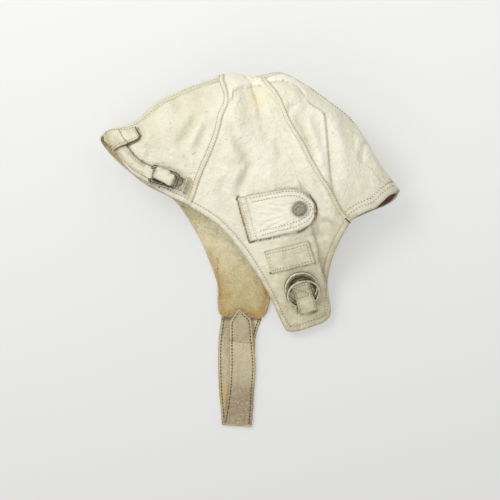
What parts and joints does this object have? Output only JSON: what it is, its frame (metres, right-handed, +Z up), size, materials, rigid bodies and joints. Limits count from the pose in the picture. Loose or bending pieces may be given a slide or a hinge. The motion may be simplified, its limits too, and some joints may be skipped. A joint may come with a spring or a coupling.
{
  "type": "leather flying cap",
  "caption": "Soft cream leather flying cap lying on its side, with ear flaps, snapped ear pockets, paired rings, a folded chin strap and a buckled nape strap.",
  "frame": {"origin": "centre of the bounding box, on the table the cap lies on", "axes": "+X to the forehead, +Y to the crown, +Z up from the table; the cap lies on its wearer's left side as in the picture"},
  "size_m": [0.2664, 0.3176, 0.076],
  "materials": {
    "leather_cream": "worn cream lambskin, soft sheen",
    "strap_leather": "olive grey leather, matt",
    "sweatband": "dark brown, matt",
    "nickel": "dull worn nickel plate"
  },
  "bodies": {
    "shell": {"crown_band": "leather_cream", "near_rear_panel": "leather_cream", "far_rear_panel": "leather_cream", "near_front_panel": "leather_cream", "far_front_panel": "leather_cream", "rear_seam_strip": "leather_cream", "front_seam_strip": "leather_cream", "near_brow_facing": "sweatband", "far_brow_facing": "sweatband", "near_pocket_hem": "leather_cream", "far_pocket_hem": "leather_cream", "near_snap_stud": "nickel", "far_snap_stud": "nickel", "near_stud_back": "nickel", "far_stud_back": "nickel", "nape_strap": "leather_cream", "strap_loop": "leather_cream", "strap_tip": "nickel", "nape_keeper": "leather_cream"},
    "near_flap": {"near_ear_flap": "leather_cream", "near_patch": "leather_cream", "ring_tab": "leather_cream"},
    "far_flap": {"far_ear_flap": "leather_cream", "far_patch": "leather_cream", "chin_strap_root": "strap_leather"},
    "near_pocket": {"near_pocket_flap": "leather_cream", "near_snap_cap": "nickel", "near_snap_socket": "nickel"},
    "far_pocket": {"far_pocket_flap": "leather_cream", "far_snap_cap": "nickel", "far_snap_socket": "nickel"},
    "lower_ring": {"ring_lower": "nickel"},
    "upper_ring": {"ring_upper": "nickel"},
    "strap": {"chin_strap": "strap_leather"},
    "strap_tail": {"chin_strap_end": "strap_leather"},
    "buckle": {"buckle_frame": "nickel", "buckle_bar": "nickel", "buckle_cover": "leather_cream"},
    "bail": {"buckle_bail": "nickel"}
  },
  "joints": [
    {"name": "near_flap_fold", "type": "hinge", "parent": "shell", "child": "near_flap", "pos_m": [0.03857, 0.01056, 0.04263], "axis": [-0.9732, -0.2299, 0], "range_deg": [0, 80]},
    {"name": "far_flap_fold", "type": "hinge", "parent": "shell", "child": "far_flap", "pos_m": [0.00476, 0.01321, 0.00345], "axis": [1, 0, 0], "range_deg": [0, 80]},
    {"name": "near_pocket_open", "type": "hinge", "parent": "shell", "child": "near_pocket", "pos_m": [0.00276, 0.02922, 0.04623], "axis": [0.2637, -0.8845, -0.3849], "range_deg": [0, 150]},
    {"name": "far_pocket_open", "type": "hinge", "parent": "shell", "child": "far_pocket", "pos_m": [-0.01672, 0.04277, 0.0059], "axis": [-0.0489, 0.9983, -0.0317], "range_deg": [0, 150]},
    {"name": "lower_ring_swing", "type": "hinge", "parent": "near_flap", "child": "lower_ring", "pos_m": [0.05063, -0.04742, 0.02154], "axis": [0.9546, 0.2973, -0.0213], "range_deg": [0, 75]},
    {"name": "upper_ring_swing", "type": "hinge", "parent": "lower_ring", "child": "upper_ring", "pos_m": [0.05107, -0.0488, 0.0217], "axis": [0.9546, 0.2973, -0.0213], "range_deg": [0, 75]},
    {"name": "strap_swing", "type": "hinge", "parent": "far_flap", "child": "strap", "pos_m": [-0.0074, -0.06144, 0.002], "axis": [-1, 0, 0], "range_deg": [0, 35]},
    {"name": "strap_tail_unfold", "type": "hinge", "parent": "strap", "child": "strap_tail", "pos_m": [-0.01168, -0.1559, 0.00415], "axis": [0.9974, -0.0716, 0], "range_deg": [0, 170]},
    {"name": "buckle_lift", "type": "hinge", "parent": "shell", "child": "buckle", "pos_m": [-0.08775, 0.06939, 0.05354], "axis": [-0.2551, -0.8221, -0.5089], "range_deg": [0, 100]},
    {"name": "bail_lift", "type": "hinge", "parent": "buckle", "child": "bail", "pos_m": [-0.06573, 0.06119, 0.05575], "axis": [-0.2551, -0.8221, -0.5089], "range_deg": [0, 100]}
  ]
}
